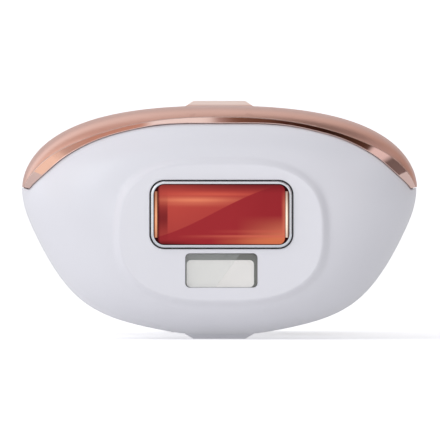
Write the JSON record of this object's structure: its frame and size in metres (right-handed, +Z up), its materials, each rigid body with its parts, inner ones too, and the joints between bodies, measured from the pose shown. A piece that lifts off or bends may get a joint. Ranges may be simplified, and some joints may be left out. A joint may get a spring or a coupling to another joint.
{
  "type": "ipl hair remover",
  "caption": "Hand-held pulsed-light hair remover with a pull-off treatment head, sprung contact ring, red filter window, cooled lamp engine and push controls on a straight handle.",
  "frame": {"origin": "centre of the filter glass's front face, on the axis of the treatment window", "axes": "-Y points out of the window towards the skin, +Z up, +X to the right of someone facing the window; the lowest plane, z = -25 mm, is where the device rests"},
  "size_m": [0.0794, 0.1682, 0.0479],
  "materials": {
    "white_shell": "smooth gloss white",
    "rose_satin": "satin rose metallic lacquer",
    "rose_polished": "polished rose metal plating",
    "chrome_plate": "bright chrome plating",
    "black_rubber": "matt black elastomer",
    "red_glass": "red long-pass filter glass",
    "clear_glass": "clear hard-coated pane",
    "mirror_film": "silver mirror coating",
    "pale_tile": "pale warm white diffuser",
    "grey_plastic": "grey engineering plastic",
    "dark_plastic": "dark glass-filled plastic",
    "soft_grey": "soft-touch overmould",
    "circuit_board": "green solder mask",
    "gold_contact": "gold-plated contact",
    "steel": "plain steel",
    "spring_steel": "drawn spring wire",
    "nickel_magnet": "nickel-plated magnet",
    "quartz": "fused quartz",
    "aluminium_part": "milled aluminium",
    "capacitor_sleeve": "aluminium can in a dark printed-free sleeve",
    "copper_winding": "enamelled copper winding",
    "ferrite": "sintered ferrite",
    "wire_insulation": "silicone lead insulation",
    "light_lens": "frosted clear light pipe",
    "button_rose": "satin rose button cap",
    "nylon": "natural nylon"
  },
  "bodies": {
    "handle": {"upper_shell": "white_shell", "lower_shell": "white_shell", "spine_cover": "rose_satin", "grip_pads": "soft_grey", "rubber_foot": "soft_grey", "vent_screens": "dark_plastic", "rear_cap": "white_shell", "power_socket": "dark_plastic", "socket_pin": "gold_contact", "shell_screws": "steel", "front_bulkhead": "grey_plastic", "keeper_discs": "steel", "exit_window": "quartz", "spring_pins": "gold_contact", "reflector": "mirror_film", "lamp_tube": "quartz", "lamp_caps": "steel", "lamp_holders": "nylon", "contact_switches": "dark_plastic", "heat_sink": "aluminium_part", "fan_frame": "dark_plastic", "flash_capacitor": "capacitor_sleeve", "main_board": "circuit_board", "transformer_core": "ferrite", "transformer_winding": "copper_winding", "board_parts": "dark_plastic", "power_leads": "wire_insulation", "control_board": "circuit_board", "flash_switch_body": "dark_plastic", "flash_springs": "spring_steel", "power_switch_body": "dark_plastic", "status_lenses": "light_lens", "status_leds": "light_lens"},
    "head": {"head_shell": "white_shell", "head_cover": "rose_satin", "bevel_trim": "rose_polished", "ring_gasket": "black_rubber", "filter_glass": "red_glass", "glass_clips": "mirror_film", "light_guide": "mirror_film", "ring_springs": "spring_steel", "sensor_window": "clear_glass", "sensor_tile": "pale_tile", "sensor_carrier": "grey_plastic", "sensor_board": "circuit_board", "sensor_chips": "dark_plastic", "sensor_cable": "nylon", "head_frame": "grey_plastic", "head_screws": "steel", "head_rear_plate": "dark_plastic", "head_magnets": "nickel_magnet", "contact_board": "gold_contact"},
    "ring": {"contact_ring": "chrome_plate", "push_rods": "nylon"},
    "plungers": {"switch_plungers": "nylon"},
    "flash_key": {"flash_button": "button_rose"},
    "flash_stem": {"flash_switch_stem": "nylon"},
    "power_key": {"power_button": "button_rose"},
    "power_stem": {"power_switch_stem": "nylon"},
    "fan": {"fan_rotor": "dark_plastic"}
  },
  "joints": [
    {"name": "head_off", "type": "slide", "parent": "handle", "child": "head", "axis": [0, -1, 0], "range_m": [0, 0.03]},
    {"name": "ring_press", "type": "slide", "parent": "head", "child": "ring", "axis": [0, 1, 0], "range_m": [0, 0.0007], "deforming": ["ring_springs"]},
    {"name": "plunger_press", "type": "slide", "parent": "handle", "child": "plungers", "axis": [0, 1, 0], "range_m": [0, 0.0007]},
    {"name": "flash_press", "type": "slide", "parent": "handle", "child": "flash_key", "axis": [0, 0, -1], "range_m": [0, 0.001], "deforming": ["flash_springs"]},
    {"name": "flash_stem_press", "type": "slide", "parent": "handle", "child": "flash_stem", "axis": [0, 0, -1], "range_m": [0, 0.001]},
    {"name": "power_press", "type": "slide", "parent": "handle", "child": "power_key", "axis": [0, 0, -1], "range_m": [0, 0.0006]},
    {"name": "power_stem_press", "type": "slide", "parent": "handle", "child": "power_stem", "axis": [0, 0, -1], "range_m": [0, 0.0006]},
    {"name": "fan_spin", "type": "hinge", "parent": "handle", "child": "fan", "pos_m": [0, 0.0551, 0], "axis": [0, 1, 0], "continuous": true}
  ],
  "couplings": [
    {"joint": "plunger_press", "follows": "ring_press", "ratio": 1},
    {"joint": "flash_stem_press", "follows": "flash_press", "ratio": 1},
    {"joint": "power_stem_press", "follows": "power_press", "ratio": 1}
  ]
}
